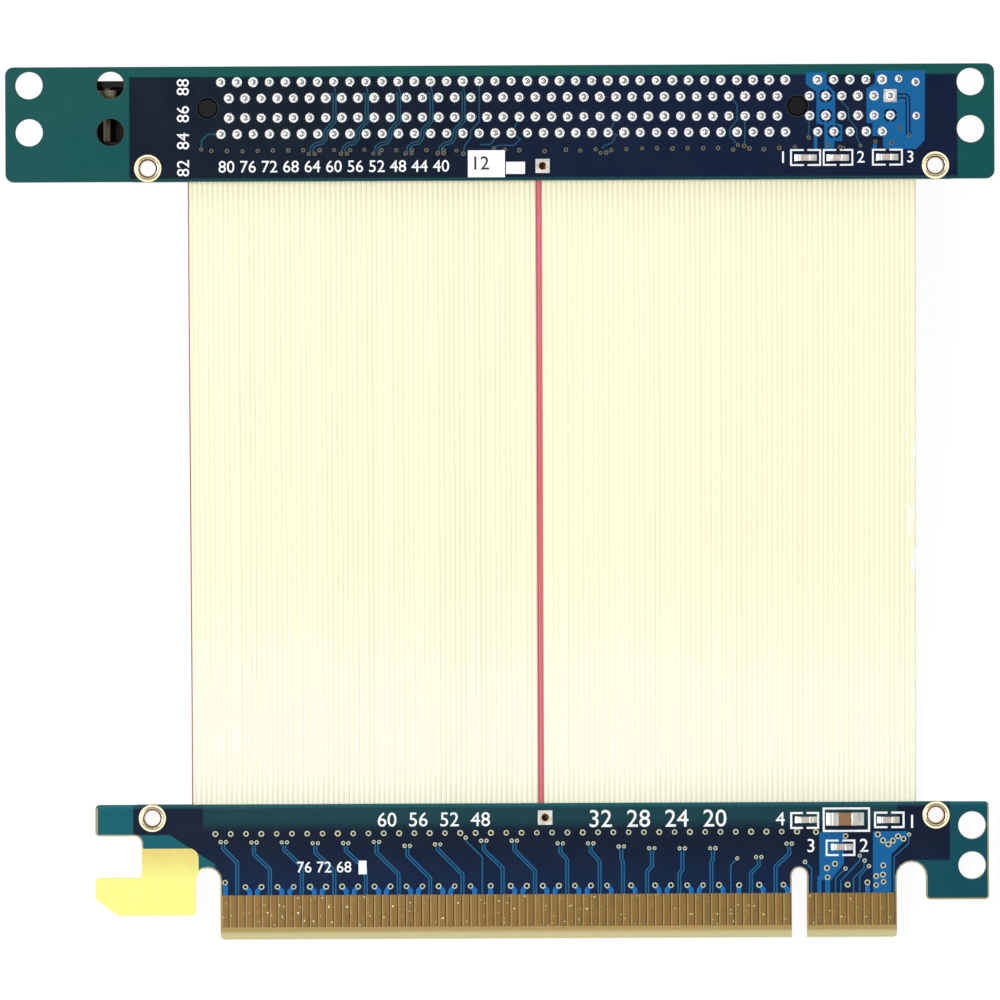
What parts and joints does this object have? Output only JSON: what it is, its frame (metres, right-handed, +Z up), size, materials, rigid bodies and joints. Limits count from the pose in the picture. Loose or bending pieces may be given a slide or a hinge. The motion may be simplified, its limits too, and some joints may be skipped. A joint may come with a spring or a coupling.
{
  "type": "riser cable",
  "caption": "Riser cable: a board with an expansion card slot and a board with an edge plug, joined by flat ribbon cables.",
  "frame": {"origin": "on the surface it lies on, under the middle of the whole cable", "axes": "+X along the boards towards contact one, +Y from the plug to the slot board, +Z up out of the boards' faces"},
  "size_m": [0.1226, 0.1086, 0.0136],
  "materials": {
    "circuit_board": "satin solder mask",
    "slot_moulding": "fine moulded",
    "latch_moulding": "fine moulded",
    "bar_moulding": "fine moulded",
    "ribbon_jacket": "satin",
    "rivet_brass": "polished",
    "pale_ceramic": "satin",
    "brown_ceramic": "satin",
    "white_paper": "matt"
  },
  "bodies": {
    "cable": {"riser_board": "circuit_board", "plug_board": "circuit_board", "slot_housing": "slot_moulding", "riser_clamp_bar": "bar_moulding", "plug_clamp_bar": "bar_moulding", "left_ribbon": "ribbon_jacket", "right_ribbon": "ribbon_jacket", "riser_rivet_left": "rivet_brass", "riser_rivet_right": "rivet_brass", "plug_rivet_left": "rivet_brass", "plug_rivet_right": "rivet_brass", "riser_capacitor_1": "pale_ceramic", "riser_capacitor_2": "pale_ceramic", "riser_capacitor_3": "pale_ceramic", "plug_capacitor_1": "pale_ceramic", "plug_capacitor_2": "brown_ceramic", "plug_capacitor_3": "pale_ceramic", "plug_capacitor_4": "pale_ceramic", "paper_sticker": "white_paper"},
    "latch": {"slot_latch": "latch_moulding"}
  },
  "joints": [
    {"name": "latch_pivot", "type": "hinge", "parent": "cable", "child": "latch", "pos_m": [-0.04877, 0.04843, 0.0093], "axis": [0, 1, 0], "range_deg": [0, 30]}
  ]
}
